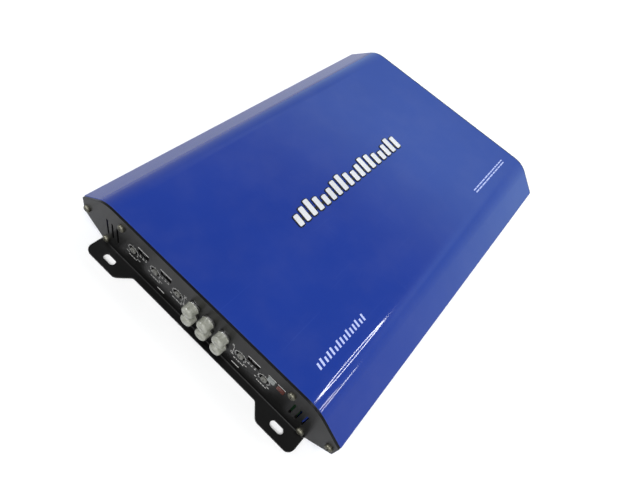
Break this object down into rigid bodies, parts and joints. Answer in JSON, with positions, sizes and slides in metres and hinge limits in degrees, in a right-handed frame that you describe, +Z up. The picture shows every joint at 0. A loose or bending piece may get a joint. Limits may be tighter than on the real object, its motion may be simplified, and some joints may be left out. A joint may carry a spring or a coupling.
{
  "type": "car amplifier",
  "caption": "Flat car audio amplifier with an angled extruded cover, flanged end plates, control sockets and knobs at one end and wire terminals with fuses at the other.",
  "frame": {"origin": "under the middle of the case, on the plane that the mounting flanges rest on", "axes": "+X across the case, to the right when facing the control end; +Y from the control end to the terminal end; +Z up, out of the vehicle panel"},
  "size_m": [0.24, 0.3576, 0.0527],
  "materials": {
    "cover_paint": "gloss royal-blue baked paint",
    "end_plate_coat": "fine satin dark powder coat",
    "nickel_screws": "nickel-plated steel",
    "badge_silver": "bright satin silver",
    "badge_black": "gloss black",
    "black_moulding": "matt moulded nylon",
    "tinned_metal": "bright tin plate",
    "white_insulator": "white moulded plastic",
    "soft_cap": "milky translucent soft vinyl",
    "pot_case": "moulded pot housing",
    "spindle_grey": "light grey moulded plastic",
    "slider_black": "black moulded plastic",
    "clear_lens": "clear frosted lens",
    "red_lens": "tinted red lens",
    "circuit_board": "green solder mask on glass-epoxy",
    "standoff_brass": "plain turned brass",
    "terminal_brass": "nickel-washed brass",
    "copper_winding": "enamelled copper wire",
    "ferrite": "sintered ferrite",
    "capacitor_sleeve": "shrink sleeve over aluminium can",
    "device_epoxy": "black epoxy with tinned leads",
    "thermal_pad": "grey silicone pad",
    "clamp_steel": "zinc-plated steel bar",
    "fuse_plastic": "translucent green plastic with zinc blades"
  },
  "bodies": {
    "case": {"badge_bars": "badge_silver", "badge_base": "badge_black", "board_screws": "nickel_screws", "board_standoffs": "standoff_brass", "bottom_plate": "end_plate_coat", "bottom_plate_screws": "nickel_screws", "clamp_screws": "nickel_screws", "control_board": "circuit_board", "control_end_plate": "end_plate_coat", "control_end_screws": "nickel_screws", "fuse_holder": "black_moulding", "heatsink_cover": "cover_paint", "input_choke": "copper_winding", "main_board": "circuit_board", "pot_body_bass_boost": "pot_case", "pot_body_front_highpass": "pot_case", "pot_body_front_level": "pot_case", "pot_body_rear_level": "pot_case", "pot_body_rear_lowpass": "pot_case", "power_light": "clear_lens", "power_terminal_block": "black_moulding", "power_terminal_contacts": "terminal_brass", "power_terminal_screws": "nickel_screws", "power_transistors_left": "device_epoxy", "power_transistors_right": "device_epoxy", "protect_light": "red_lens", "rca_centre_contacts": "tinned_metal", "rca_insulators": "white_insulator", "rca_jack_block": "black_moulding", "rca_jack_shells": "tinned_metal", "reservoir_capacitors": "capacitor_sleeve", "speaker_terminal_block": "black_moulding", "speaker_terminal_contacts": "terminal_brass", "speaker_terminal_screws": "nickel_screws", "switch_body_front_crossover": "black_moulding", "switch_body_input_mode": "black_moulding", "switch_body_rear_crossover": "black_moulding", "terminal_end_plate": "end_plate_coat", "terminal_end_screws": "nickel_screws", "transformer_core": "ferrite", "transformer_winding": "copper_winding", "transistor_clamps": "clamp_steel", "transistor_pads": "thermal_pad"},
    "dust_cap_1": {"rca_cap_1": "soft_cap"},
    "dust_cap_2": {"rca_cap_2": "soft_cap"},
    "dust_cap_3": {"rca_cap_3": "soft_cap"},
    "dust_cap_4": {"rca_cap_4": "soft_cap"},
    "dust_cap_5": {"rca_cap_5": "soft_cap"},
    "dust_cap_6": {"rca_cap_6": "soft_cap"},
    "front_level_control": {"pot_spindle_front_level": "spindle_grey"},
    "front_highpass_control": {"pot_spindle_front_highpass": "spindle_grey"},
    "bass_boost_control": {"pot_spindle_bass_boost": "spindle_grey"},
    "rear_level_control": {"pot_spindle_rear_level": "spindle_grey"},
    "rear_lowpass_control": {"pot_spindle_rear_lowpass": "spindle_grey"},
    "front_crossover_slider": {"switch_slider_front_crossover": "slider_black"},
    "input_mode_slider": {"switch_slider_input_mode": "slider_black"},
    "rear_crossover_slider": {"switch_slider_rear_crossover": "slider_black"},
    "fuse_1": {"fuse_1": "fuse_plastic"},
    "fuse_2": {"fuse_2": "fuse_plastic"}
  },
  "joints": [
    {"name": "dust_cap_1_pull", "type": "slide", "parent": "case", "child": "dust_cap_1", "axis": [0, -1, 0], "range_m": [0, 0.012]},
    {"name": "dust_cap_2_pull", "type": "slide", "parent": "case", "child": "dust_cap_2", "axis": [0, -1, 0], "range_m": [0, 0.012]},
    {"name": "dust_cap_3_pull", "type": "slide", "parent": "case", "child": "dust_cap_3", "axis": [0, -1, 0], "range_m": [0, 0.012]},
    {"name": "dust_cap_4_pull", "type": "slide", "parent": "case", "child": "dust_cap_4", "axis": [0, -1, 0], "range_m": [0, 0.012]},
    {"name": "dust_cap_5_pull", "type": "slide", "parent": "case", "child": "dust_cap_5", "axis": [0, -1, 0], "range_m": [0, 0.012]},
    {"name": "dust_cap_6_pull", "type": "slide", "parent": "case", "child": "dust_cap_6", "axis": [0, -1, 0], "range_m": [0, 0.012]},
    {"name": "front_level_turn", "type": "hinge", "parent": "case", "child": "front_level_control", "pos_m": [-0.0665, -0.165, 0.0266], "axis": [0, -1, 0], "range_deg": [-150, 150]},
    {"name": "front_highpass_turn", "type": "hinge", "parent": "case", "child": "front_highpass_control", "pos_m": [-0.0445, -0.165, 0.0266], "axis": [0, -1, 0], "range_deg": [-150, 150]},
    {"name": "bass_boost_turn", "type": "hinge", "parent": "case", "child": "bass_boost_control", "pos_m": [-0.0225, -0.165, 0.0266], "axis": [0, -1, 0], "range_deg": [-150, 150]},
    {"name": "rear_level_turn", "type": "hinge", "parent": "case", "child": "rear_level_control", "pos_m": [0.0365, -0.165, 0.0266], "axis": [0, -1, 0], "range_deg": [-150, 150]},
    {"name": "rear_lowpass_turn", "type": "hinge", "parent": "case", "child": "rear_lowpass_control", "pos_m": [0.0575, -0.165, 0.0266], "axis": [0, -1, 0], "range_deg": [-150, 150]},
    {"name": "front_crossover_slide", "type": "slide", "parent": "case", "child": "front_crossover_slider", "axis": [1, 0, 0], "range_m": [-0.0026, 0.0026]},
    {"name": "input_mode_slide", "type": "slide", "parent": "case", "child": "input_mode_slider", "axis": [1, 0, 0], "range_m": [0, 0.0042]},
    {"name": "rear_crossover_slide", "type": "slide", "parent": "case", "child": "rear_crossover_slider", "axis": [1, 0, 0], "range_m": [-0.0026, 0.0026]},
    {"name": "fuse_1_pull", "type": "slide", "parent": "case", "child": "fuse_1", "axis": [0, 1, 0], "range_m": [0, 0.015]},
    {"name": "fuse_2_pull", "type": "slide", "parent": "case", "child": "fuse_2", "axis": [0, 1, 0], "range_m": [0, 0.015]}
  ]
}
